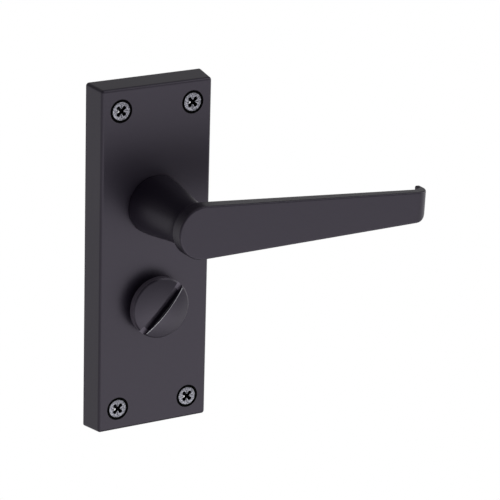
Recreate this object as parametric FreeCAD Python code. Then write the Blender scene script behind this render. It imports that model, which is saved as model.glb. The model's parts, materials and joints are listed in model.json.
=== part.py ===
import FreeCAD, Part
import math
import os

# Outer half of a privacy door handle set: a lever and a coin release on one oblong backplate.
# Lengths are in millimetres and angles in degrees.
# +Z is up, +Y points into the door and +X runs along the lever towards its tip.
# The origin is the lever's axis on the door face. Angles are measured from +X towards +Z.

# Backplate, a hollow zinc casting open to the door, widest at the door face
plate_width = 41.8
plate_height = 117.2
plate_depth = 9.0
plate_side_draft = 1.1
plate_end_draft = 0.6
plate_edge_radius = 1.0
plate_front_wall = 2.2
plate_side_wall = 2.2
cavity_corner_radius = 1.6
lever_drop = 40.8
release_drop = 33.9
rib_thickness = 1.6
rib_setback = 2.5
upper_rib_height = 22.0
middle_rib_depth = 20.4
lower_rib_depth = 48.7

# Fixing screws, cross recessed and countersunk, their heads level with the plate's face
screw_span_x = 25.8
screw_span_z = 101.2
screw_boss_diameter = 11.0
screw_hole_diameter = 4.2
screw_thread_diameter = 3.5
screw_core_diameter = 2.7
screw_length = 19.0
screw_point_length = 4.0
screw_point_diameter = 0.45
screw_head_diameter = 6.6
screw_head_rim = 0.4
screw_ring_diameter = 7.8
countersink_angle = 90.0
recess_length = 4.0
recess_width = 0.9
recess_depth = 1.5
recess_angle = 45.0

# Lever: neck, arm, curled tip and journal in one casting
lever_projection = 41.4
neck_base_diameter = 19.7
neck_base_skirt = 0.5
neck_base_slope = 0.08
neck_waist_diameter = 15.1
neck_waist_distance = 19.7
neck_flare_slope = 0.5
arm_root_height = 17.7
arm_root_thickness = 5.2
arm_tip_height = 10.2
arm_tip_thickness = 3.7
arm_reach = 84.9
arm_edge_radius = 0.6
arm_droop = 2.0
tip_bend_radius = 5.2
tip_inner_radius = 2.4
tip_flap_length = 2.6
tip_thickness = 1.6
tip_corner_allowance = 0.2
journal_diameter = 15.0
journal_flats = 11.8
journal_door_gap = 0.4
lever_travel = 50.0

# Lever bush, drive plate and circlip
bush_wall = 1.0
bush_flange_diameter = 18.2
bush_flange_thickness = 0.4
lever_boss_wall = 2.0
lever_boss_setback = 3.4
drive_plate_diameter = 20.4
drive_plate_thickness = 1.4
drive_arm_radius = 16.6
drive_arm_width = 5.0
drive_arm_angle = 115.0
drive_arm_corner_radius = 0.6
lever_clip_thickness = 1.0
lever_clip_band = 2.1
lever_groove_depth = 0.9
stop_thickness = 3.4
stop_radial_length = 3.6

# Return spring, a torsion spring round the lever boss
spring_wire = 1.2
spring_turns = 1.25
spring_pitch = 1.3
spring_leg_length = 9.6
spring_sections_per_turn = 12
spring_bend_radius = 1.2
spring_post_diameter = 3.2
spring_post_height = 2.2
spring_post_along_leg = 6.9

# Spindles, square steel bars
handle_spindle_size = 8.0
privacy_spindle_size = 5.0
spindle_projection = 25.0
lever_socket_end_wall = 4.4
release_socket_depth = 8.6

# Coin release: slotted domed head that widens from its foot, on a round stem
release_diameter = 20.4
release_foot_diameter = 17.0
release_flare_height = 2.6
release_edge_height = 2.5
release_edge_radius = 0.45
release_dome_rise = 1.6
release_stem_diameter = 9.0
release_boss_wall = 2.0
release_boss_setback = 4.6
release_stem_door_gap = 1.0
slot_width = 2.2
slot_flare = 0.5
slot_floor_below_rim = 0.9
slot_angle = 47.0
cone_washer_thickness = 0.4
cone_washer_height = 0.9
cone_washer_diameter = 14.6
flat_washer_diameter = 13.8
flat_washer_thickness = 0.8
release_clip_thickness = 0.8
release_clip_band = 1.7
release_groove_depth = 0.6

# Circlip ends: the ear's radius against the band, then the rest against the ear's radius
clip_ear_share = 0.75
clip_ear_offset = 2.2
clip_ear_trim = 0.75
clip_hole_share = 0.4

# Clearances
running_clearance = 0.05
seat_clearance = 0.05
clip_clearance = 0.05
square_clearance = 0.05
stop_clearance = 0.05
spring_clearance = 0.3
spring_arm_clearance = 0.25
spring_post_clearance = 0.02
screw_seat_clearance = 0.03

# How near a point lies to a plane or a direction to count as on it
touch = 0.001

# Derived positions
front_y = -plate_depth
inner_y = front_y + plate_front_wall
plate_top = lever_drop
plate_bottom = plate_top - plate_height
plate_middle = (plate_top + plate_bottom) / 2
arm_front_y = -lever_projection
arm_back_y = arm_front_y + arm_root_thickness
arm_root_radius = arm_root_height / 2
journal_radius = journal_diameter / 2
bush_radius = journal_radius + running_clearance + bush_wall
lever_boss_radius = bush_radius + lever_boss_wall
neck_y = front_y - bush_flange_thickness - seat_clearance
drive_plate_y = -lever_boss_setback + 2 * seat_clearance
lever_clip_y = drive_plate_y + drive_plate_thickness + seat_clearance
journal_end_y = -journal_door_gap
release_stem_radius = release_stem_diameter / 2
release_boss_radius = release_stem_radius + running_clearance + release_boss_wall
release_z = -release_drop
screw_seat_y = front_y + screw_head_rim
flat_washer_y = -release_boss_setback + cone_washer_height + seat_clearance
release_clip_y = flat_washer_y + flat_washer_thickness + seat_clearance
countersink_slope = math.tan(math.radians(countersink_angle / 2))


def vec(x, y, z):
    return FreeCAD.Vector(x, y, z)


def rod(radius, y_from, y_to, x=0.0, z=0.0):
    """Round bar along Y."""
    return Part.makeCylinder(radius, y_to - y_from, vec(x, y_from, z), vec(0, 1, 0))


def cone(radius_from, radius_to, y_from, y_to, x=0.0, z=0.0):
    """Round taper along Y."""
    return Part.makeCone(radius_from, radius_to, y_to - y_from, vec(x, y_from, z), vec(0, 1, 0))


def block(x_from, x_to, y_from, y_to, z_from, z_to):
    """Rectangular block between two corners."""
    return Part.makeBox(x_to - x_from, y_to - y_from, z_to - z_from, vec(x_from, y_from, z_from))


def square_bar(size, y_from, y_to):
    """Square bar along Y, centred on the Y axis."""
    return block(-size / 2, size / 2, y_from, y_to, -size / 2, size / 2)


def turned(shape, angle):
    """Shape turned about the lever's axis by an angle that runs from +X towards +Z."""
    copy = shape.copy()
    copy.rotate(vec(0, 0, 0), vec(0, 1, 0), -angle)
    return copy


def moved(shape, x, z):
    """Shape shifted in the plane of the door."""
    copy = shape.copy()
    copy.translate(vec(x, 0, z))
    return copy


def edges_along(shape, axis, keep):
    """Straight edges parallel to an axis whose midpoint passes a test."""
    found = []
    for edge in shape.Edges:
        if edge.Curve.TypeId != "Part::GeomLine":
            continue
        ends = [vertex.Point for vertex in edge.Vertexes]
        if (ends[1] - ends[0]).normalize().cross(axis).Length > touch:
            continue
        if keep((ends[0] + ends[1]) / 2):
            found.append(edge)
    return found


def on_plane_x(point, x):
    """True for a point on a plane across the lever."""
    return abs(point.x - x) < touch


def clip_ring(inner_radius, band, thickness, y_from):
    """External circlip with two eared ends and plier holes, its gap towards -Z."""
    y_to = y_from + thickness
    outer_radius = inner_radius + band
    ear_radius = clip_ear_share * band
    ear_angle = clip_ear_offset * ear_radius / outer_radius
    ear_x = outer_radius * math.sin(ear_angle)
    ear_z = -outer_radius * math.cos(ear_angle)
    ring = rod(outer_radius, y_from, y_to)
    for x in (-ear_x, ear_x):
        ring = ring.fuse(rod(ear_radius, y_from, y_to, x, ear_z))
    ring = ring.cut(rod(inner_radius, y_from, y_to))
    half_gap = ear_x - clip_ear_trim * ear_radius
    ring = ring.cut(block(-half_gap, half_gap, y_from, y_to, -2 * outer_radius, 0))
    for x in (-ear_x, ear_x):
        ring = ring.cut(rod(clip_hole_share * ear_radius, y_from, y_to, x, ear_z))
    return ring.removeSplitter()


def clip_groove(radius, depth, clip_y, clip_thickness):
    """Ring of metal that is turned away from a bar along Y to take a circlip."""
    y_from = clip_y - clip_clearance
    y_to = clip_y + clip_thickness + clip_clearance
    return rod(2 * radius, y_from, y_to).cut(rod(radius - depth, y_from, y_to))


def journal_section(radius, flats, y_from, y_to):
    """Round bar along Y with two flats facing up and down."""
    bar = rod(radius, y_from, y_to)
    return bar.common(block(-radius, radius, y_from, y_to, -flats / 2, flats / 2))


def screw_places():
    """Centres of the four fixing screws."""
    return [
        (side * screw_span_x / 2, plate_middle + end * screw_span_z / 2)
        for side in (-1, 1)
        for end in (-1, 1)
    ]


def stop_block(angle, side):
    """Cast stop that one flank of the drive plate's arm meets at an angle."""
    near = drive_arm_width / 2 + stop_clearance
    outer = drive_arm_radius + stop_clearance
    low, high = sorted((side * near, side * (near + stop_thickness)))
    end_y = drive_plate_y + drive_plate_thickness
    return turned(block(outer - stop_radial_length, outer, inner_y, end_y, low, high), angle)


def spring_coil_radius():
    """Radius of the spring's wire centre."""
    return lever_boss_radius + spring_clearance + spring_wire / 2


def spring_end_angle():
    """Angle at which the turns end, just before the bend that brings the wire beside the drive arm."""
    coil = spring_coil_radius()
    beside_arm = drive_arm_width / 2 + spring_wire / 2 + spring_arm_clearance
    leg_radius = math.hypot(coil, spring_bend_radius)
    lag = math.asin(beside_arm / leg_radius) - math.atan2(spring_bend_radius, coil)
    return drive_arm_angle - math.degrees(lag)


def spring_start_angle():
    """Angle at which the straight leg leaves the first turn."""
    return spring_end_angle() + 360 * spring_turns


def backplate():
    """Oblong plate with leaning sides and rounded edges, hollow behind, with ribs, bosses and stops."""
    half = plate_width / 2
    front_half = half - plate_side_draft
    front_bottom = plate_bottom + plate_end_draft
    front_top = plate_top - plate_end_draft
    plate = Part.makeWedge(
        -front_half, front_y, front_bottom, plate_bottom, -half,
        front_half, 0, front_top, plate_top, half,
    )
    outer_edges = [edge for edge in plate.Edges if edge.CenterOfMass.y < -touch]
    plate = plate.makeFillet(plate_edge_radius, outer_edges)
    inset = front_half - plate_side_wall
    cavity_bottom = front_bottom + plate_side_wall
    cavity_top = front_top - plate_side_wall
    cavity = block(-inset, inset, inner_y, 0, cavity_bottom, cavity_top)
    cavity = cavity.makeFillet(cavity_corner_radius, edges_along(cavity, vec(0, 1, 0), lambda point: True))
    plate = plate.cut(cavity)
    additions = []
    for x, z in screw_places():
        additions.append(rod(screw_boss_diameter / 2, inner_y, 0, x, z))
    for z in (upper_rib_height, -middle_rib_depth, -lower_rib_depth):
        low = z - rib_thickness / 2
        additions.append(block(-inset, inset, inner_y, -rib_setback, low, low + rib_thickness))
    additions.append(rod(lever_boss_radius, inner_y, -lever_boss_setback))
    additions.append(rod(release_boss_radius, inner_y, -release_boss_setback, 0, release_z))
    additions.append(stop_block(drive_arm_angle, 1))
    additions.append(stop_block(drive_arm_angle - lever_travel, -1))
    additions.append(spring_post())
    plate = plate.multiFuse(additions)
    holes = [rod(bush_radius, front_y, 0)]
    holes.append(rod(release_stem_radius + running_clearance, front_y, 0, 0, release_z))
    hole_radius = screw_hole_diameter / 2
    head_radius = screw_head_diameter / 2
    sink_y = screw_seat_y + screw_seat_clearance
    sink_end = sink_y + (head_radius - hole_radius) / countersink_slope
    for x, z in screw_places():
        holes.append(rod(hole_radius, front_y, 0, x, z))
        holes.append(cone(head_radius, hole_radius, sink_y, sink_end, x, z))
        holes.append(rod(screw_ring_diameter / 2, front_y, sink_y, x, z))
    for hole in holes:
        plate = plate.cut(hole)
    return plate.removeSplitter()


def fixing_screw():
    """One countersunk wood screw on the Y axis, with its cross recess."""
    head_radius = screw_head_diameter / 2
    core_radius = screw_core_diameter / 2
    shank_y = screw_seat_y + (head_radius - core_radius) / countersink_slope
    tip = front_y + screw_length
    thread_end = tip - screw_point_length
    screw = rod(head_radius, front_y, screw_seat_y)
    screw = screw.fuse(cone(head_radius, core_radius, screw_seat_y, shank_y))
    screw = screw.fuse(rod(core_radius, shank_y, 0))
    screw = screw.fuse(rod(screw_thread_diameter / 2, 0, thread_end))
    screw = screw.fuse(cone(screw_thread_diameter / 2, screw_point_diameter / 2, thread_end, tip))
    half_length = recess_length / 2
    half_width = recess_width / 2
    arm = block(-half_length, half_length, front_y, front_y + recess_depth, -half_width, half_width)
    for quarter in (0, 90):
        screw = screw.cut(turned(arm, recess_angle + quarter))
    return screw.removeSplitter()


def fixing_screws():
    """The four screws, one in each corner of the plate."""
    return Part.makeCompound([moved(fixing_screw(), x, z) for x, z in screw_places()])


def lever_bush():
    """Flanged plastic bush pressed into the plate for the lever's journal."""
    bush = rod(bush_radius, front_y, -lever_boss_setback)
    bush = bush.fuse(rod(bush_flange_diameter / 2, front_y - bush_flange_thickness, front_y))
    bore = rod(journal_radius + running_clearance, front_y - bush_flange_thickness, -lever_boss_setback)
    return bush.cut(bore).removeSplitter()


def neck():
    """Waisted neck that flares into the back of the arm, revolved about the lever's axis."""
    base_radius = neck_base_diameter / 2
    waist_y = front_y - neck_waist_distance
    flare_radius = arm_root_radius - arm_edge_radius
    start = vec(base_radius, neck_y - neck_base_skirt, 0)
    waist = vec(neck_waist_diameter / 2, waist_y, 0)
    finish = vec(flare_radius, arm_back_y, 0)
    curve = Part.BSplineCurve()
    curve.interpolate(
        Points=[start, waist, finish],
        InitialTangent=vec(-neck_base_slope, -1, 0) * (start.y - waist.y),
        FinalTangent=vec(neck_flare_slope, -1, 0) * (waist.y - finish.y),
    )
    corners = [finish, vec(flare_radius, arm_back_y - arm_edge_radius, 0)]
    corners += [vec(0, arm_back_y - arm_edge_radius, 0), vec(0, neck_y, 0)]
    corners += [vec(base_radius, neck_y, 0), start]
    lines = [Part.makeLine(a, b) for a, b in zip(corners, corners[1:])]
    profile = Part.Face(Part.Wire([curve.toShape()] + lines))
    return profile.revolve(vec(0, 0, 0), vec(0, 1, 0), 360)


def arm():
    """Tapered flat arm: its outline from the front crossed with its profile from above."""
    tip_half = arm_tip_height / 2
    distance = math.hypot(arm_reach, tip_half)
    taper = math.asin(arm_root_radius / distance) - math.atan2(tip_half, arm_reach)
    shoulder_x = arm_root_radius * math.sin(taper)
    shoulder_z = arm_root_radius * math.cos(taper)
    inner_x = arm_reach - tip_thickness
    return_y = arm_front_y + tip_bend_radius + tip_flap_length
    deep = arm_front_y - arm_edge_radius
    shallow = return_y + arm_edge_radius
    upper = vec(shoulder_x, deep, shoulder_z)
    lower = vec(shoulder_x, deep, -shoulder_z)
    upper_tip = vec(arm_reach, deep, tip_half)
    lower_tip = vec(arm_reach, deep, -tip_half)
    wire = Part.Wire([
        Part.Arc(lower, vec(-arm_root_radius, deep, 0), upper).toShape(),
        Part.makeLine(upper, upper_tip),
        Part.makeLine(upper_tip, lower_tip),
        Part.makeLine(lower_tip, lower),
    ])
    outline = Part.Face(wire).extrude(vec(0, shallow - deep, 0))
    at_foot = edges_along(outline, vec(0, 1, 0), lambda point: point.x > inner_x and point.z < 0)
    # The lower corner is a little tighter than the bend, so that the two roundings can meet
    outline = outline.makeFillet(tip_bend_radius - tip_corner_allowance, at_foot)
    points = [
        vec(-arm_root_height, arm_front_y, -arm_root_height),
        vec(arm_reach, arm_front_y, -arm_root_height),
        vec(arm_reach, return_y, -arm_root_height),
        vec(inner_x, return_y, -arm_root_height),
        vec(inner_x, arm_front_y + arm_tip_thickness, -arm_root_height),
        vec(0, arm_back_y, -arm_root_height),
        vec(-arm_root_height, arm_back_y, -arm_root_height),
    ]
    profile = Part.Face(Part.makePolygon(points + points[:1])).extrude(vec(0, 0, 2 * arm_root_height))
    upright = vec(0, 0, 1)
    bend = edges_along(profile, upright, lambda point: point.x > inner_x and point.y < arm_front_y + touch)
    profile = profile.makeFillet(tip_bend_radius, bend)
    crook = edges_along(profile, upright, lambda point: on_plane_x(point, inner_x) and point.y < return_y)
    profile = profile.makeFillet(tip_inner_radius, crook)
    solid = profile.common(outline)
    kept_sharp = edges_along(solid, upright, lambda point: True)
    kept_sharp += edges_along(solid, vec(0, 1, 0), lambda point: point.x < arm_reach - touch or point.z < 0)
    rounded = [edge for edge in solid.Edges if not any(edge.isSame(other) for other in kept_sharp)]
    return solid.makeFillet(arm_edge_radius, rounded)


def lever():
    """Neck, arm and journal of the lever in one casting, bored square for its spindle."""
    body = neck().fuse(arm())
    body = body.fuse(rod(journal_radius, neck_y, drive_plate_y))
    body = body.fuse(journal_section(journal_radius, journal_flats, drive_plate_y, journal_end_y))
    body = body.cut(clip_groove(journal_radius, lever_groove_depth, lever_clip_y, lever_clip_thickness))
    socket_size = handle_spindle_size + 2 * square_clearance
    socket = square_bar(socket_size, arm_front_y + lever_socket_end_wall, journal_end_y)
    body = body.cut(socket).removeSplitter()
    return turned(body, -arm_droop)


def drive_plate():
    """Steel plate keyed to the journal's flats, with the arm that meets the stops."""
    end_y = drive_plate_y + drive_plate_thickness
    plate = rod(drive_plate_diameter / 2, drive_plate_y, end_y)
    bar = block(0, drive_arm_radius, drive_plate_y, end_y, -drive_arm_width / 2, drive_arm_width / 2)
    tips = edges_along(bar, vec(0, 1, 0), lambda point: point.x > drive_arm_radius - touch)
    bar = bar.makeFillet(drive_arm_corner_radius, tips)
    plate = plate.fuse(turned(bar, drive_arm_angle))
    hole_radius = journal_radius + running_clearance
    hole_flats = journal_flats + 2 * running_clearance
    hole = journal_section(hole_radius, hole_flats, drive_plate_y, end_y)
    return plate.cut(turned(hole, -arm_droop)).removeSplitter()


def lever_circlip():
    """Circlip in the journal's groove that keeps the lever in the plate."""
    inner_radius = journal_radius - lever_groove_depth + clip_clearance
    ring = clip_ring(inner_radius, lever_clip_band, lever_clip_thickness, lever_clip_y)
    return turned(ring, -arm_droop)


def handle_spindle():
    """Square bar pushed to the bottom of the lever's socket."""
    start = arm_front_y + lever_socket_end_wall + seat_clearance
    bar = square_bar(handle_spindle_size, start, spindle_projection)
    return turned(bar, -arm_droop)


def spring_post():
    """Cast post that holds the outer side of the spring's straight leg."""
    radius = spring_post_diameter / 2
    beside_leg = spring_coil_radius() + spring_wire / 2 + radius + spring_post_clearance
    post = rod(radius, inner_y, inner_y + spring_post_height, beside_leg, spring_post_along_leg)
    return turned(post, spring_start_angle())


def along_spring(shape, share):
    """Shape carried along the turns by a share of their length, as a screw would carry it."""
    copy = turned(shape, spring_start_angle() - 360 * spring_turns * share)
    copy.translate(vec(0, spring_pitch * spring_turns * share, 0))
    return copy


def return_spring():
    """Torsion spring: a straight leg, the turns round the boss and a bent leg beside the drive arm."""
    wire = spring_wire / 2
    coil = spring_coil_radius()
    centre = vec(coil, inner_y + wire + spring_clearance, 0)
    direction = vec(0, spring_pitch / (2 * math.pi), -coil).normalize()
    section = Part.Wire(Part.makeCircle(wire, centre, direction))
    steps = round(spring_turns * spring_sections_per_turn)
    turns = Part.makeLoft([along_spring(section, step / steps) for step in range(steps + 1)], True)
    start = along_spring(Part.Vertex(centre), 0).Point
    end = along_spring(Part.Vertex(centre), 1).Point
    leaving = along_spring(Part.Vertex(direction), 0).Point
    arriving = along_spring(Part.Vertex(centre + direction), 1).Point - end
    back = vec(0, 1, 0)
    inward = (back - arriving * arriving.dot(back)).normalize()
    centre = end + inward * spring_bend_radius
    axis = arriving.cross(inward)
    bend_angle = math.degrees(arriving.getAngle(back))
    bend = Part.Face(Part.Wire(Part.makeCircle(wire, end, arriving))).revolve(centre, axis, bend_angle)
    bend_end = centre + back.cross(axis) * spring_bend_radius
    straight_leg = Part.makeCylinder(wire, spring_leg_length, start, leaving * -1)
    axial_leg = rod(wire, bend_end.y, drive_plate_y + drive_plate_thickness, bend_end.x, bend_end.z)
    return turns.multiFuse([bend, straight_leg, axial_leg]).removeSplitter()


def release_turn():
    """Domed head with a coin slot, its widening foot and its stem, turned about one axis."""
    head_radius = release_diameter / 2
    foot_radius = release_foot_diameter / 2
    flare_y = front_y - release_flare_height
    rim_y = flare_y - release_edge_height
    crown_y = rim_y - release_dome_rise
    foot_y = front_y - 2 * seat_clearance
    end_y = -release_stem_door_gap
    edge = release_edge_radius
    face_radius = head_radius - edge
    ball_radius = (face_radius ** 2 + release_dome_rise ** 2) / (2 * release_dome_rise)
    dome_start = vec(face_radius, rim_y, 0)
    dome_sag = ball_radius - math.sqrt(ball_radius ** 2 - (face_radius / 2) ** 2)
    dome_middle = vec(face_radius / 2, crown_y + dome_sag, 0)
    outline = [
        Part.makeLine(vec(0, end_y, 0), vec(release_stem_radius, end_y, 0)),
        Part.makeLine(vec(release_stem_radius, end_y, 0), vec(release_stem_radius, foot_y, 0)),
        Part.makeLine(vec(release_stem_radius, foot_y, 0), vec(foot_radius, foot_y, 0)),
        Part.makeLine(vec(foot_radius, foot_y, 0), vec(head_radius, flare_y, 0)),
        Part.makeLine(vec(head_radius, flare_y, 0), vec(head_radius, rim_y + edge, 0)),
        Part.makeLine(vec(head_radius, rim_y + edge, 0), dome_start),
        Part.Arc(dome_start, dome_middle, vec(0, crown_y, 0)).toShape(),
        Part.makeLine(vec(0, crown_y, 0), vec(0, end_y, 0)),
    ]
    body = Part.Face(Part.Wire(outline)).revolve(vec(0, 0, 0), vec(0, 1, 0), 360)
    floor_y = rim_y + slot_floor_below_rim
    half_slot = slot_width / 2
    half_mouth = half_slot + slot_flare
    slot = Part.makeWedge(
        -head_radius, crown_y, -half_mouth, -half_slot, -head_radius,
        head_radius, floor_y, half_mouth, half_slot, head_radius,
    )
    groove = clip_groove(release_stem_radius, release_groove_depth, release_clip_y, release_clip_thickness)
    socket_size = privacy_spindle_size + 2 * square_clearance
    socket = square_bar(socket_size, end_y - release_socket_depth, end_y)
    for hollow in (slot, groove, socket):
        body = body.cut(hollow)
    return on_release(body.removeSplitter())


def on_release(shape):
    """Shape turned to the slot's angle and set on the release's axis."""
    return moved(turned(shape, slot_angle), 0, release_z)


def release_cone_washer():
    """Sprung cone washer that gives the release its friction."""
    inner = release_stem_radius + running_clearance
    outer = cone_washer_diameter / 2
    base_y = -release_boss_setback + seat_clearance / 2
    lift = cone_washer_height - cone_washer_thickness
    points = [
        vec(inner, base_y, 0),
        vec(outer, base_y + lift, 0),
        vec(outer, base_y + lift + cone_washer_thickness, 0),
        vec(inner, base_y + cone_washer_thickness, 0),
    ]
    profile = Part.Face(Part.makePolygon(points + points[:1]))
    return on_release(profile.revolve(vec(0, 0, 0), vec(0, 1, 0), 360))


def release_flat_washer():
    """Flat washer between the cone washer and the circlip."""
    end_y = flat_washer_y + flat_washer_thickness
    ring = rod(flat_washer_diameter / 2, flat_washer_y, end_y)
    return on_release(ring.cut(rod(release_stem_radius + running_clearance, flat_washer_y, end_y)))


def release_circlip():
    """Circlip in the stem's groove that keeps the release in the plate."""
    inner_radius = release_stem_radius - release_groove_depth + clip_clearance
    return on_release(clip_ring(inner_radius, release_clip_band, release_clip_thickness, release_clip_y))


def privacy_spindle():
    """Square bar in the release's socket that works the latch's bolt."""
    start = -release_stem_door_gap - release_socket_depth + seat_clearance
    return on_release(square_bar(privacy_spindle_size, start, spindle_projection))


NODES = {
    "backplate": backplate,
    "fixing_screws": fixing_screws,
    "lever_bush": lever_bush,
    "return_spring": return_spring,
    "lever": lever,
    "drive_plate": drive_plate,
    "lever_circlip": lever_circlip,
    "handle_spindle": handle_spindle,
    "release_turn": release_turn,
    "release_cone_washer": release_cone_washer,
    "release_flat_washer": release_flat_washer,
    "release_circlip": release_circlip,
    "privacy_spindle": privacy_spindle,
}

os.makedirs("parts", exist_ok=True)
for node, build in NODES.items():
    build().exportStep("parts/" + node + ".step")
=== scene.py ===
import json
import math

import bmesh
import bpy
from mathutils import Matrix, Vector


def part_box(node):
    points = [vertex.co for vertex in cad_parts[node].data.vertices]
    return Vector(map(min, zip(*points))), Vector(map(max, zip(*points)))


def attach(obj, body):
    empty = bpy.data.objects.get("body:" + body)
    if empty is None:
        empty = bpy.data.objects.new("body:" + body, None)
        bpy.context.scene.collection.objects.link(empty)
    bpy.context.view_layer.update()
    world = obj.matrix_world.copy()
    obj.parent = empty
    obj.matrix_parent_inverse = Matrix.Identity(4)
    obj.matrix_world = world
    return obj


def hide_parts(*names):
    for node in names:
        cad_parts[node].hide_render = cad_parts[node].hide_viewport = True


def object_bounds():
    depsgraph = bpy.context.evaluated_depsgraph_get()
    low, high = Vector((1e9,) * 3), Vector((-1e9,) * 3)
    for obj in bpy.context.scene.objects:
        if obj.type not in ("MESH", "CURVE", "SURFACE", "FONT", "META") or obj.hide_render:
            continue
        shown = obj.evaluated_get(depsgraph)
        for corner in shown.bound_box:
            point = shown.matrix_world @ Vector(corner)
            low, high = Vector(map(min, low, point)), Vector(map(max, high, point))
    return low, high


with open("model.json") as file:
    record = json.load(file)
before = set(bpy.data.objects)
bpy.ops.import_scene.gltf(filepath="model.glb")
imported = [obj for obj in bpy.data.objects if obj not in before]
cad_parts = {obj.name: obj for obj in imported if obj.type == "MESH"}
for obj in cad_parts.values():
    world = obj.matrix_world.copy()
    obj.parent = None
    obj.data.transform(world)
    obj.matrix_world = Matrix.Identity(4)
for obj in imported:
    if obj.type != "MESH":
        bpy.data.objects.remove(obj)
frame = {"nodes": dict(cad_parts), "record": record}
cad_low, cad_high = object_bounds()

# Everything is in metres: +Z up, +Y into the door, +X along the lever.
MM = 0.001

# The camera, fitted to the photograph's plate, screws, neck and release
VIEW_AZIMUTH = math.radians(30.516)
VIEW_ELEVATION = math.radians(18.795)
VIEW_ROLL = math.radians(1.564)
VIEW_DISTANCE = 972.3 * MM
FOCAL_PIXELS = 2974.48
IMAGE_PIXELS = 500
AIM_DEPTH = 2.26 * MM
PLATE_PIXEL_X = 138.50
PLATE_PIXEL_Y = 246.78
SENSOR_WIDTH = 36.0

# Countersunk cross recessed screws
HEAD_DIAMETER = 6.1 * MM
HEAD_RIM = 0.4 * MM
HEAD_EDGE = 0.12 * MM
HEAD_STUB = 0.5 * MM
CORE_DIAMETER = 2.5 * MM
THREAD_DIAMETER = 3.5 * MM
THREAD_PITCH = 1.5 * MM
THREAD_START = 1.2 * MM
THREAD_CREST_SLOPE = 1.7
POINT_LENGTH = 4.0 * MM
POINT_SHARE = 0.08
TURN_STEPS = 48
PITCH_STEPS = 12
RECESS_LENGTH = 4.2 * MM
RECESS_WAIST = 0.95 * MM
RECESS_END = 1.45 * MM
RECESS_DEPTH = 1.7 * MM
RECESS_TAPER = 0.55
RECESS_WELL = 0.25 * MM
RECESS_FLARE = 1.06
RECESS_ANGLE = math.radians(45)
WING_SHOULDER = 0.6
WING_TIP = 0.4
TICK_START = 1.0 * MM
TICK_END = 2.25 * MM
TICK_WIDTH = 0.32 * MM
TICK_DEPTH = 0.4 * MM
TICK_ANGLE = math.radians(45)
ABOVE_HEAD = 0.2 * MM

# Zinc plate on the screws, painted shade in their recesses, and a painted highlight left of each
# recess
ZINC_DARK = (0.13, 0.13, 0.155)
ZINC_LIGHT = (0.44, 0.44, 0.49)
ZINC_SCUFFED = (0.06, 0.062, 0.07)
RECESS_PAINTED_SHADE = (0.004, 0.004, 0.005)
GLINT_PAINTED_WHITE = (0.97, 0.97, 0.98)
GLINT_X = -0.92 * MM
GLINT_Z = -0.10 * MM
GLINT_RADIUS = 0.38 * MM

# Return spring: its leg behind the post stays, and its turns follow the lever.
# The turns start as a thin tail inside the leg's piece and slide out of it.
SPRING_WIRE = 1.2 * MM
SPRING_SLIDING_WIRE = 1.17 * MM
SPRING_TAIL_WIRE = 0.6 * MM
SPRING_TAIL_ANGLE = math.radians(7)
SPRING_OVERLAP = math.radians(57)
SPRING_TURNS = math.radians(450)
SPRING_PITCH = 1.45 * MM
SPRING_LEG_LENGTH = 9.6 * MM
SPRING_BEND_RADIUS = 1.2 * MM
SPRING_END_ANGLE = math.radians(104.06)
SPRING_STEP = math.radians(3)
SPRING_BEND_STEPS = 8
WIRE_STEPS = 20
INTO_DOOR = Vector((0, 1, 0))

# Black paint: its sheen is a little violet, and the lever's is a little duller
PAINT_DARK = (0.0048, 0.0030, 0.0085)
PAINT_LIGHT = (0.0065, 0.0045, 0.0105)
PAINT_ROUGHNESS = 0.35
PAINT_IOR = 1.63
LEVER_IOR = 1.57
PAINT_TINT = (0.91, 0.83, 1.0, 1.0)

# The plate: thin rough paint over its hollow back, and near-black dull matte in its screw holes as
# painted shade
HOLLOW_FRONT_WALL = 1 * MM
HOLLOW_SIDE_WALL = 2.6 * MM
HOLLOW_PAINT = (0.030, 0.029, 0.031)
HOLE_RADIUS = 3.95 * MM
HOLE_FROM = 0.06 * MM
HOLE_SHADE_DARK = (0.003, 0.003, 0.003)
HOLE_SHADE_LIGHT = (0.006, 0.006, 0.006)
DULL_IOR = 1.05

# The release: lightened on its side as painted light, and bare metal along one edge of its slot as
# wear and a painted highlight
RIM_SETBACK = 2.0 * MM
SIDE_SHARE = 0.8
SLOT_ANGLE = math.radians(47)
SIDE_PAINTED_LIGHT = (0.090, 0.078, 0.102)
EDGE_WEAR_AND_HIGHLIGHT = (0.42, 0.42, 0.45)
STRIP_FROM = 1.40 * MM
STRIP_TO = 1.70 * MM
STRIP_MARGIN = 0.6 * MM

# The pieces behind the plate
PLATED_BRIGHT = (0.50, 0.52, 0.55)
PLATED_DULL = (0.36, 0.37, 0.38)
DRAWN_SHARE = 0.06
SPRING_STEEL_DARK = (0.16, 0.155, 0.15)
SPRING_STEEL_LIGHT = (0.26, 0.24, 0.22)
NYLON_DARK = (0.010, 0.010, 0.011)
NYLON_LIGHT = (0.016, 0.016, 0.017)

# Meshes made here are smooth but for edges sharper than this
SHARP_ANGLE = math.radians(35)

# Studio floor
FLOOR_DROP = 250 * MM
FLOOR_RADIUS = 320 * MM
FLOOR_SEGMENTS = 96
FLOOR_DARK = (0.74, 0.74, 0.74)
FLOOR_LIGHT = (0.80, 0.80, 0.80)

# White surroundings: where they dim or brighten, as spans of a direction's X, Y or Z,
# and by how much. The front is what the plate's and the lever's faces mirror.
CEILING_SPAN = (-0.06, 0.30)
CEILING_DIM = 0.68
LEFT_SPAN = (0.0, 0.45)
LEFT_DIM = 0.39
FRONT_SPAN = (0.2, 0.7)
FRONT_DIM = 0.06
FRONT_LOW_SPAN = (-0.62, -0.18)
FRONT_LOW_GAIN = 1.2
FRONT_RIGHT_SPAN = (0.45, 0.75)
FRONT_RIGHT_DIM = 0.6

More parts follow.
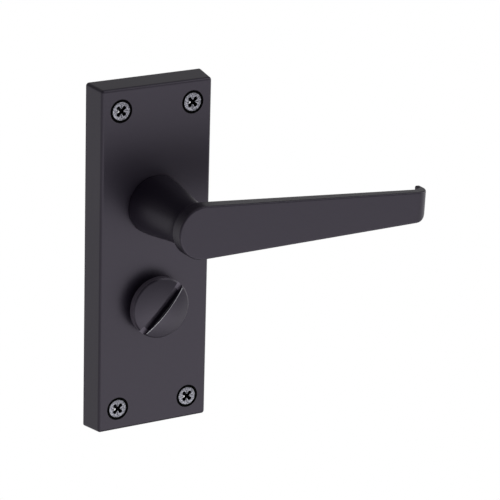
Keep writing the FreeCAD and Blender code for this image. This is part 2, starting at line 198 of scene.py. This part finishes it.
# Two square soft lamps: direction from the part's middle, side in metres and brightness
SOFTBOX_DISTANCE = 1.3
SOFTBOX_RIGHT = ((0.93, -0.15, 0.25), 0.6, 2.2)
SOFTBOX_TOP = ((0.55, -0.45, 0.70), 0.5, 2.5)


class Value:
    """An output socket of a node tree: an operator on it adds its Math nodes."""

    def __init__(self, tree, socket):
        self.tree = tree
        self.socket = socket

    def math(self, operation, *others):
        return self.tree.add("Math", {"operation": operation}, dict(enumerate((self, *others))))

    def __add__(self, other):
        return self.math("ADD", other)

    __radd__ = __add__

    def __mul__(self, other):
        return self.math("MULTIPLY", other)

    __rmul__ = __mul__

    def __sub__(self, other):
        return self.math("SUBTRACT", other)

    def __rsub__(self, other):
        return self * -1 + other

    def __pow__(self, other):
        return self.math("POWER", other)

    def __gt__(self, other):
        return self.math("GREATER_THAN", other)

    def __lt__(self, other):
        return self.math("LESS_THAN", other)

    def step(self, start, end):
        """Rises smoothly from 0 at start to 1 at end."""
        smooth = {"interpolation_type": "SMOOTHSTEP"}
        return self.tree.add("MapRange", smooth, {0: self, 1: start, 2: end})


class Tree:
    """The node tree of a material or a world, cleared of what Blender puts there."""

    def __init__(self, owner):
        owner.use_nodes = True
        self.owner = owner
        self.nodes = owner.node_tree.nodes
        self.links = owner.node_tree.links
        self.nodes.clear()

    def add(self, kind, settings, sockets, output=0):
        """Adds a node: its settings first, then the values and links of its sockets."""
        node = self.nodes.new("ShaderNode" + kind)
        for name, setting in settings.items():
            setattr(node, name, setting)
        for key, value in sockets.items():
            if isinstance(value, Value):
                self.links.new(value.socket, node.inputs[key])
            else:
                node.inputs[key].default_value = value
        return Value(self, node.outputs[output]) if node.outputs else node

    def place(self):
        """The point in the part's own frame, in metres."""
        return self.add("TexCoord", {}, {}, output="Object")

    def axes(self, vector):
        """The three numbers of a vector."""
        split = self.add("SeparateXYZ", {}, {0: vector}).socket.node
        return [Value(self, output) for output in split.outputs]

    def noise(self, vector, size, detail=2.0, roughness=0.5):
        """Soft random pattern from 0 to 1 whose features are about the given size."""
        values = {"Vector": vector, "Scale": 1 / size, "Detail": detail, "Roughness": roughness}
        return self.add("TexNoise", {}, values)

    def mix(self, share, colour_a, colour_b):
        """Colour A at a share of 0, colour B at 1."""
        ends = {}
        for socket, colour in ((6, colour_a), (7, colour_b)):
            ends[socket] = colour if isinstance(colour, Value) else (*colour, 1)
        return self.add("Mix", {"data_type": "RGBA"}, {0: share, **ends}, output=2)

    def bump(self, height, depth, under=None):
        """Normal of a surface whose height varies by a depth in metres."""
        sockets = {"Height": height, "Distance": depth}
        if under is not None:
            sockets["Normal"] = under
        return self.add("Bump", {}, sockets)

    def surface(self, shader):
        """Ends the tree with this shader, and gives back the material."""
        self.add("OutputMaterial", {}, {"Surface": shader})
        return self.owner


def material(name):
    """The tree of a new material."""
    return Tree(bpy.data.materials.new(name))


def satin_paint(tree, place, ior=PAINT_IOR):
    """Smooth black paint with a satin sheen, its faint orange peel and its fine grain."""
    cloud = tree.noise(place, 28 * MM)
    peel = tree.noise(place, 1.3 * MM, detail=1.0)
    grain = tree.noise(place, 0.22 * MM, detail=2.0)
    return {
        "Base Color": tree.mix(cloud, PAINT_DARK, PAINT_LIGHT),
        "Roughness": PAINT_ROUGHNESS + 0.07 * grain + 0.03 * cloud,
        "IOR": ior,
        "Specular Tint": PAINT_TINT,
        "Normal": tree.bump(grain, 0.004 * MM, under=tree.bump(peel, 0.012 * MM)),
    }


def satin_black():
    """The lever's paint."""
    tree = material("satin_black")
    return tree.surface(tree.add("BsdfPrincipled", {}, satin_paint(tree, tree.place(), LEVER_IOR)))


def release_black_with_painted_light(low, high):
    """The release's paint: lightened on its side and in its slot's ends as painted light, and bare
    metal along one slot edge as coin wear and a painted highlight.
    """
    tree = material("release_paint")
    place = tree.place()
    x, y, z = tree.axes(place)
    radius = high.x
    below = z - (low.z + high.z) / 2
    from_axis = (x * x + below * below) ** 0.5
    # The side is lightened: painted light that offsets the shade falling on it
    lit_side = (y > low.y + RIM_SETBACK) * (from_axis > SIDE_SHARE * radius)
    across = x * math.sin(SLOT_ANGLE) - below * math.cos(SLOT_ANGLE)
    scratches = tree.noise(place, 0.4 * MM, detail=3.0).step(0.25, 0.5)
    # Bare metal along the slot's lower right edge: coin wear, and a painted highlight of that edge
    highlighted_edge = (across > STRIP_FROM) * (across < STRIP_TO) * (from_axis < radius - STRIP_MARGIN)
    wear_and_highlight = highlighted_edge * scratches
    paint = satin_paint(tree, place)
    side_lit = tree.mix(lit_side, paint["Base Color"], SIDE_PAINTED_LIGHT)
    paint["Base Color"] = tree.mix(wear_and_highlight, side_lit, EDGE_WEAR_AND_HIGHLIGHT)
    paint["Metallic"] = wear_and_highlight
    return tree.surface(tree.add("BsdfPrincipled", {}, paint))


def cast_black(low, high, screws):
    """The plate's paint: satin outside, near-black and dull in the screw holes as painted shade,
    thin and rough in the hollow.
    """
    tree = material("plate_paint")
    place = tree.place()
    x, y, z = tree.axes(place)
    from_screw_x = (x - screws["middle"].x).math("ABSOLUTE") - screws["span_x"] / 2
    from_screw_z = (z - screws["middle"].z).math("ABSOLUTE") - screws["span_z"] / 2
    from_screw = from_screw_x * from_screw_x + from_screw_z * from_screw_z
    # Near-black dull matte in the screw holes: painted shade where the countersinks lie in shadow
    hole_shade = (from_screw < HOLE_RADIUS * HOLE_RADIUS) * (y > low.y + HOLE_FROM)
    within_sides = x.math("ABSOLUTE") < high.x - HOLLOW_SIDE_WALL
    within_ends = (z > low.z + HOLLOW_SIDE_WALL) * (z < high.z - HOLLOW_SIDE_WALL)
    inside = (y > low.y + HOLLOW_FRONT_WALL) * within_sides * within_ends
    cast_skin = tree.noise(place, 0.7 * MM, detail=4.0, roughness=0.65)
    patches = tree.noise(place, 9 * MM, detail=3.0).step(0.45, 0.7)
    paint = satin_paint(tree, place)
    paint["Base Color"] = tree.mix(inside * patches, paint["Base Color"], HOLLOW_PAINT)
    paint["Roughness"] = paint["Roughness"] + 0.22 * inside
    paint["Normal"] = tree.bump(cast_skin * inside, 0.05 * MM, under=paint["Normal"])
    satin = tree.add("BsdfPrincipled", {}, paint)
    hole_shade_grain = tree.noise(place, 0.3 * MM)
    hole_shade_paint = {
        "Base Color": tree.mix(hole_shade_grain, HOLE_SHADE_DARK, HOLE_SHADE_LIGHT),
        "Roughness": 0.85 + 0.1 * hole_shade_grain,
        "IOR": DULL_IOR,
    }
    dull = tree.add("BsdfPrincipled", {}, hole_shade_paint)
    return tree.surface(tree.add("MixShader", {}, {0: hole_shade, 1: satin, 2: dull}))


def bright_zinc(head_y, screws):
    """Zinc plate: mottled and scuffed on the heads, with painted shade in the recesses and a
    painted highlight beside them.
    """
    tree = material("bright_zinc")
    place = tree.place()
    x, y, z = tree.axes(place)
    side_x = x - screws["middle"].x
    side_z = z - screws["middle"].z
    # A near-white spot at the same place beside each recess: a painted highlight
    glint_x = side_x - side_x.math("SIGN") * (screws["span_x"] / 2) - GLINT_X
    glint_z = side_z - side_z.math("SIGN") * (screws["span_z"] / 2) - GLINT_Z
    painted_glint = glint_x * glint_x + glint_z * glint_z < GLINT_RADIUS * GLINT_RADIUS
    mottle = tree.noise(place, 0.5 * MM, detail=3.0)
    fine = tree.noise(place, 0.12 * MM, detail=2.0)
    specks = tree.noise(place, 0.45 * MM, detail=2.0).step(0.55, 0.68)
    # The recesses are painted near black: painted shade
    recess_shade = y.step(head_y + 0.02 * MM, head_y + 0.2 * MM) * (1 - y.step(-2 * MM, 0.0))
    plate = tree.mix(mottle.step(0.35, 0.65), ZINC_DARK, ZINC_LIGHT)
    scuffed = tree.mix(0.7 * specks, plate, ZINC_SCUFFED)
    darkened = tree.mix(recess_shade, scuffed, RECESS_PAINTED_SHADE)
    metal = {
        "Base Color": tree.mix(painted_glint, darkened, GLINT_PAINTED_WHITE),
        "Metallic": 1.0,
        "Roughness": 0.30 + 0.20 * fine,
        "Normal": tree.bump(mottle + 0.4 * fine, 0.02 * MM),
    }
    return tree.surface(tree.add("BsdfPrincipled", {}, metal))


def plated_steel():
    """Zinc plated bar and plate, drawn along the door's depth, with dull patches."""
    tree = material("plated_steel")
    place = tree.place()
    x, y, z = tree.axes(place)
    drawn = tree.add("CombineXYZ", {}, {"X": x, "Y": y * DRAWN_SHARE, "Z": z})
    lines = tree.noise(drawn, 0.25 * MM, detail=3.0)
    dull = tree.noise(place, 5 * MM, detail=3.0)
    metal = {
        "Base Color": tree.mix(dull.step(0.35, 0.75), PLATED_BRIGHT, PLATED_DULL),
        "Metallic": 1.0,
        "Roughness": 0.27 + 0.16 * dull + 0.10 * lines,
        "Normal": tree.bump(lines, 0.010 * MM),
    }
    return tree.surface(tree.add("BsdfPrincipled", {}, metal))


def spring_steel():
    """Dark oil-tempered steel with faint scale."""
    tree = material("spring_steel")
    place = tree.place()
    scale = tree.noise(place, 1.1 * MM, detail=4.0)
    fine = tree.noise(place, 0.15 * MM)
    metal = {
        "Base Color": tree.mix(scale.step(0.35, 0.7), SPRING_STEEL_DARK, SPRING_STEEL_LIGHT),
        "Metallic": 1.0,
        "Roughness": 0.32 + 0.18 * scale,
        "Normal": tree.bump(fine, 0.006 * MM),
    }
    return tree.surface(tree.add("BsdfPrincipled", {}, metal))


def black_nylon():
    """Moulded nylon with a fine spark-eroded texture."""
    tree = material("black_nylon")
    place = tree.place()
    cloud = tree.noise(place, 6 * MM)
    texture = tree.noise(place, 0.3 * MM, detail=3.0)
    plastic = {
        "Base Color": tree.mix(cloud, NYLON_DARK, NYLON_LIGHT),
        "Roughness": 0.50 + 0.12 * texture,
        "Normal": tree.bump(texture, 0.015 * MM),
    }
    return tree.surface(tree.add("BsdfPrincipled", {}, plastic))


def pale_floor():
    """Pale studio floor that takes a soft shadow."""
    tree = material("pale_floor")
    grain = tree.noise(tree.place(), 4 * MM)
    matt = {
        "Base Color": tree.mix(grain, FLOOR_DARK, FLOOR_LIGHT),
        "Roughness": 0.9,
        "IOR": DULL_IOR,
    }
    return tree.surface(tree.add("BsdfPrincipled", {}, matt))


def finish_cad(node, finish):
    """Gives a CAD node its material."""
    mesh = frame["nodes"][node].data
    mesh.materials.clear()
    mesh.materials.append(finish)


def new_piece(name, mesh, finish):
    """An object with one material, smooth but for its sharp edges."""
    mesh.materials.clear()
    mesh.materials.append(finish)
    mesh.shade_smooth()
    mesh.set_sharp_from_angle(angle=SHARP_ANGLE)
    piece = bpy.data.objects.new(name, mesh)
    bpy.context.scene.collection.objects.link(piece)
    return piece


def ring_points(radius_at, depth, steps):
    """Points round the Y axis at one depth, the radius given by the angle."""
    points = []
    for step in range(steps):
        angle = 2 * math.pi * step / steps
        radius = radius_at(angle)
        points.append(Vector((radius * math.cos(angle), depth, radius * math.sin(angle))))
    return points


def skin(mesh, rings):
    """Closed skin through rings of points, capped at both ends."""
    rows = [[mesh.verts.new(point) for point in ring] for ring in rings]
    for near, far in zip(rows, rows[1:]):
        for a, b, c, d in zip(near, near[1:] + near[:1], far[1:] + far[:1], far):
            mesh.faces.new((a, b, c, d))
    mesh.faces.new(rows[0][::-1])
    mesh.faces.new(rows[-1])


def screw_head(top, seat_slope_end):
    """Countersunk head as rings: a slightly rounded face, a rim and the 90 degree seat."""
    rim = HEAD_DIAMETER / 2
    core = CORE_DIAMETER / 2
    profile = [
        (rim - HEAD_EDGE, top),
        (rim - 0.3 * HEAD_EDGE, top + 0.3 * HEAD_EDGE),
        (rim, top + HEAD_EDGE),
        (rim, top + HEAD_RIM),
        (core, seat_slope_end),
        (core, seat_slope_end + HEAD_STUB),
    ]
    return [ring_points(lambda angle, r=radius: r, depth, TURN_STEPS) for radius, depth in profile]


def recess_outline(share):
    """Outline of the cross: four wings with a square well between them."""
    length = RECESS_LENGTH / 2 * share
    waist = RECESS_WAIST / 2 * (share + 1) / 2
    end = RECESS_END / 2 * (share + 1) / 2
    well = waist + RECESS_WELL * share
    tip = WING_TIP * end
    shoulder = length - WING_SHOULDER * end
    wing = [(well, -waist), (shoulder, -end), (length, -tip)]
    wing += [(u, -v) for u, v in reversed(wing)]
    points = []
    for turn in range(4):
        cosine = round(math.cos(math.pi / 2 * turn))
        sine = round(math.sin(math.pi / 2 * turn))
        for u, v in wing:
            points.append((u * cosine - v * sine, u * sine + v * cosine))
    return points


def recess_cutter(top):
    """The cross recess and its four thin ticks as one solid to cut from a head."""
    cutter = bmesh.new()
    rings = []
    levels = ((RECESS_FLARE, top - ABOVE_HEAD), (1.0, top), (RECESS_TAPER, top + RECESS_DEPTH))
    for share, depth in levels:
        rings.append([Vector((u, depth, v)) for u, v in recess_outline(share)])
    skin(cutter, rings)
    for turn in range(4):
        along = Matrix.Rotation(TICK_ANGLE + math.radians(90) * turn, 3, "Y")
        section = [(-TICK_WIDTH, -ABOVE_HEAD), (TICK_WIDTH, -ABOVE_HEAD), (0, TICK_DEPTH)]
        ends = []
        for reach in (TICK_START, TICK_END):
            ends.append([along @ Vector((reach, top + v, u / 2)) for u, v in section])
        skin(cutter, ends)
    bmesh.ops.recalc_face_normals(cutter, faces=cutter.faces)
    askew = Matrix.Rotation(RECESS_ANGLE, 3, "Y")
    bmesh.ops.rotate(cutter, verts=cutter.verts, cent=(0, 0, 0), matrix=askew)
    return cutter


def mesh_from(shape, name):
    """Mesh of a shape, its faces turned outwards."""
    bmesh.ops.recalc_face_normals(shape, faces=shape.faces)
    mesh = bpy.data.meshes.new(name)
    shape.to_mesh(mesh)
    shape.free()
    return mesh


def cut(mesh, cutter_mesh):
    """The first mesh less the second, by an exact boolean."""
    target = bpy.data.objects.new("cut_target", mesh)
    cutter = bpy.data.objects.new("cut_tool", cutter_mesh)
    for part in (target, cutter):
        bpy.context.scene.collection.objects.link(part)
    boolean = target.modifiers.new("cut", "BOOLEAN")
    boolean.operation = "DIFFERENCE"
    boolean.solver = "EXACT"
    boolean.use_self = True
    boolean.object = cutter
    evaluated = target.evaluated_get(bpy.context.evaluated_depsgraph_get())
    result = bpy.data.meshes.new_from_object(evaluated)
    for part in (target, cutter):
        bpy.data.objects.remove(part)
    return result


def thread_rings(start, end):
    """Rings of the threaded shank: a ridge that winds round the core and runs out at the point."""
    core = CORE_DIAMETER / 2
    ridge = (THREAD_DIAMETER - CORE_DIAMETER) / 2
    step = THREAD_PITCH / PITCH_STEPS
    count = math.ceil((end - start) / step)
    rings = []
    for index in range(count + 1):
        depth = min(start + index * step, end)
        to_point = min(1.0, max(0.0, (end - depth) / POINT_LENGTH))
        slim = POINT_SHARE + (1 - POINT_SHARE) * to_point
        run_in = min(1.0, (depth - start) / THREAD_START)

        def radius_at(angle, depth=depth, slim=slim, run_in=run_in):
            phase = (depth / THREAD_PITCH - angle / (2 * math.pi)) % 1.0
            crest = max(0.0, 1 - abs(2 * phase - 1) * THREAD_CREST_SLOPE)
            return slim * (core + ridge * crest * run_in)

        rings.append(ring_points(radius_at, depth, TURN_STEPS))
    return rings


def screw_mesh(low_y, high_y):
    """One screw about the Y axis: recessed head, then the threaded shank."""
    seat_end = low_y + HEAD_RIM + (HEAD_DIAMETER - CORE_DIAMETER) / 2
    head = bmesh.new()
    skin(head, screw_head(low_y, seat_end))
    head_mesh = cut(mesh_from(head, "screw_head"), mesh_from(recess_cutter(low_y), "screw_recess"))
    whole = bmesh.new()
    whole.from_mesh(head_mesh)
    skin(whole, thread_rings(seat_end, high_y))
    return mesh_from(whole, "screw")


def screw_pattern():
    """Middle and spans of the four fixing screws."""
    pattern = next(mount for mount in frame["record"]["mounts"] if mount["name"] == "fixing_screws")
    return {
        "middle": Vector(pattern["pos_m"]),
        "span_x": pattern["dims"]["spacing_x_mm"] * MM,
        "span_z": pattern["dims"]["spacing_y_mm"] * MM,
    }


def add_screws():
    """The four fixing screws with their recesses and threads, in place of the plain ones."""
    low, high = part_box("fixing_screws")
    screws = screw_pattern()
    finish = bright_zinc(low.y, screws)
    for side, side_name in ((-1, "left"), (1, "right")):
        for end, end_name in ((-1, "lower"), (1, "upper")):
            mesh = screw_mesh(low.y, high.y)
            aside = Vector((side * screws["span_x"] / 2, 0, end * screws["span_z"] / 2))
            mesh.transform(Matrix.Translation(screws["middle"] + aside))
            piece = new_piece(f"screw_{end_name}_{side_name}", mesh, finish)
            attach(piece, "plate_body")
            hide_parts("fixing_screws")


def wire_ring(station, diameter):
    """Points round a wire at a station of its path: a place, the direction along and one across."""
    place, along, across = station
    other = along.cross(across)
    ring = []
    for step in range(WIRE_STEPS):
        angle = 2 * math.pi * step / WIRE_STEPS
        ring.append(place + (across * math.cos(angle) + other * math.sin(angle)) * diameter / 2)
    return ring


def on_spring(coil, first_y, turned):
    """Station on the spring's turns, at an angle from where they start."""
    angle = SPRING_END_ANGLE + SPRING_TURNS - turned
    across = Vector((math.cos(angle), 0, math.sin(angle)))
    rise = SPRING_PITCH / (2 * math.pi)
    along = Vector((coil * math.sin(angle), rise, -coil * math.cos(angle))).normalized()
    return across * coil + Vector((0, first_y + rise * turned, 0)), along, across


def spring_leg_rings(coil, first_y):
    """The straight leg and the first part of the turns, which the post holds still."""
    place, along, across = on_spring(coil, first_y, 0)
    path = [(place - along * SPRING_LEG_LENGTH, along, across)]
    for step in range(round(SPRING_OVERLAP / SPRING_STEP) + 1):
        path.append(on_spring(coil, first_y, step * SPRING_STEP))
    return [wire_ring(station, SPRING_WIRE) for station in path]


def sliding_wire(turned):
    """Diameter of the turns' wire at an angle from where they start."""
    if turned < SPRING_TAIL_ANGLE:
        return SPRING_TAIL_WIRE
    if turned < SPRING_OVERLAP:
        return SPRING_SLIDING_WIRE
    return SPRING_WIRE


def spring_turn_rings(coil, first_y, last_y):
    """The turns and the bent leg, which follow the lever."""
    rings = []
    for step in range(1, round(SPRING_TURNS / SPRING_STEP) + 1):
        turned = step * SPRING_STEP
        rings.append(wire_ring(on_spring(coil, first_y, turned), sliding_wire(turned)))
    place, along, across = on_spring(coil, first_y, SPRING_TURNS)
    inwards = (INTO_DOOR - along * along.y).normalized()
    whole_bend = along.angle(INTO_DOOR)
    for step in range(1, SPRING_BEND_STEPS + 1):
        bend = whole_bend * step / SPRING_BEND_STEPS
        ahead = along * math.sin(bend) + inwards * (1 - math.cos(bend))
        middle = place + ahead * SPRING_BEND_RADIUS
        direction = along * math.cos(bend) + inwards * math.sin(bend)
        rings.append(wire_ring((middle, direction, across), SPRING_WIRE))
    leg_end = Vector((middle.x, last_y, middle.z))
    rings.append(wire_ring((leg_end, INTO_DOOR, across), SPRING_WIRE))
    return rings


def add_spring(finish):
    """The return spring in two pieces, so that its bent leg stays beside the drive arm."""
    low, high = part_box("return_spring")
    coil = high.x - SPRING_WIRE / 2
    first_y = low.y + SPRING_WIRE / 2
    still = spring_leg_rings(coil, first_y)
    moving = spring_turn_rings(coil, first_y, high.y)
    parts = (("spring_leg", still, "plate_body"), ("spring_turns", moving, "lever_body"))
    for name, rings, body in parts:
        wire = bmesh.new()
        skin(wire, rings)
        piece = new_piece(name, mesh_from(wire, name), finish)
        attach(piece, body)
        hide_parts("return_spring")


def add_finishes():
    """The materials of the CAD nodes that show, and the spring steel for the return spring."""
    plate_low, plate_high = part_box("backplate")
    release_low, release_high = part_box("release_turn")
    plated = plated_steel()
    spring = spring_steel()
    finish_cad("backplate", cast_black(plate_low, plate_high, screw_pattern()))
    finish_cad("lever", satin_black())
    finish_cad("release_turn", release_black_with_painted_light(release_low, release_high))
    finish_cad("lever_bush", black_nylon())
    for node in ("drive_plate", "handle_spindle", "privacy_spindle", "release_flat_washer"):
        finish_cad(node, plated)
    for node in ("lever_circlip", "release_cone_washer", "release_circlip"):
        finish_cad(node, spring)
    return spring


def add_camera():
    """Camera at the photograph's angle, aimed so that the plate's middle falls on its pixel."""
    plate_low, plate_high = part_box("backplate")
    target = Vector((0, AIM_DEPTH, (plate_low.z + plate_high.z) / 2))
    level = math.cos(VIEW_ELEVATION)
    rise = math.sin(VIEW_ELEVATION)
    back = Vector((-math.sin(VIEW_AZIMUTH) * level, -math.cos(VIEW_AZIMUTH) * level, rise))
    right = (-back).cross(Vector((0, 0, 1))).normalized()
    up = right.cross(-back)
    right, up = (
        right * math.cos(VIEW_ROLL) + up * math.sin(VIEW_ROLL),
        up * math.cos(VIEW_ROLL) - right * math.sin(VIEW_ROLL),
    )
    scale = VIEW_DISTANCE / FOCAL_PIXELS
    aside = (PLATE_PIXEL_X - IMAGE_PIXELS / 2) * scale
    above = (IMAGE_PIXELS / 2 - PLATE_PIXEL_Y) * scale
    lens = bpy.data.cameras.new("camera")
    lens.sensor_width = SENSOR_WIDTH
    lens.lens = FOCAL_PIXELS * SENSOR_WIDTH / IMAGE_PIXELS
    camera = bpy.data.objects.new("camera", lens)
    turn = Matrix((right, up, back)).transposed().to_4x4()
    turn.translation = target - right * aside - up * above + back * VIEW_DISTANCE
    camera.matrix_world = turn
    bpy.context.scene.collection.objects.link(camera)
    bpy.context.scene.camera = camera


def add_floor():
    """Round pale floor below the part."""
    floor = bmesh.new()
    height = cad_low.z - FLOOR_DROP
    ring = []
    for step in range(FLOOR_SEGMENTS):
        angle = 2 * math.pi * step / FLOOR_SEGMENTS
        edge = (FLOOR_RADIUS * math.cos(angle), FLOOR_RADIUS * math.sin(angle), height)
        ring.append(floor.verts.new(edge))
    floor.faces.new(ring)
    mesh = bpy.data.meshes.new("floor")
    floor.to_mesh(mesh)
    floor.free()
    piece = new_piece("floor", mesh, pale_floor())


def softbox(name, direction, size, strength):
    """Square area lamp that faces the part; strength is the brightness of its face."""
    lamp = bpy.data.lights.new(name, "AREA")
    lamp.shape = "SQUARE"
    lamp.size = size
    lamp.energy = strength * math.pi * size * size
    box = bpy.data.objects.new(name, lamp)
    towards = Vector(direction).normalized()
    middle = (cad_low + cad_high) / 2
    box.location = middle + towards * SOFTBOX_DISTANCE
    box.rotation_mode = "QUATERNION"
    box.rotation_quaternion = towards.to_track_quat("Z", "Y")
    bpy.context.scene.collection.objects.link(box)


def add_light():
    """White surroundings whose level changes with direction, and two soft lamps at the right."""
    world = bpy.data.worlds.new("studio")
    bpy.context.scene.world = world
    tree = Tree(world)
    x, y, z = tree.axes(tree.add("TexCoord", {}, {}, output="Generated"))
    ceiling = z.step(*CEILING_SPAN)
    in_front = (y * -1).step(*FRONT_SPAN)
    lower = 1 - z.step(*FRONT_LOW_SPAN)
    to_right = x.step(*FRONT_RIGHT_SPAN)
    left = (x * -1).step(*LEFT_SPAN)
    front = 1 + in_front * (FRONT_LOW_GAIN * lower - FRONT_DIM - FRONT_RIGHT_DIM * to_right)
    level = (1 - CEILING_DIM * ceiling) * front * (1 - LEFT_DIM * left)
    sky = tree.add("Background", {}, {"Color": (1, 1, 1, 1), "Strength": level})
    tree.add("OutputWorld", {}, {"Surface": sky})
    softbox("softbox_right", *SOFTBOX_RIGHT)
    softbox("softbox_top", *SOFTBOX_TOP)


add_camera()
add_floor()
add_light()
add_spring(add_finishes())
add_screws()
bpy.context.scene.view_settings.view_transform = "Standard"
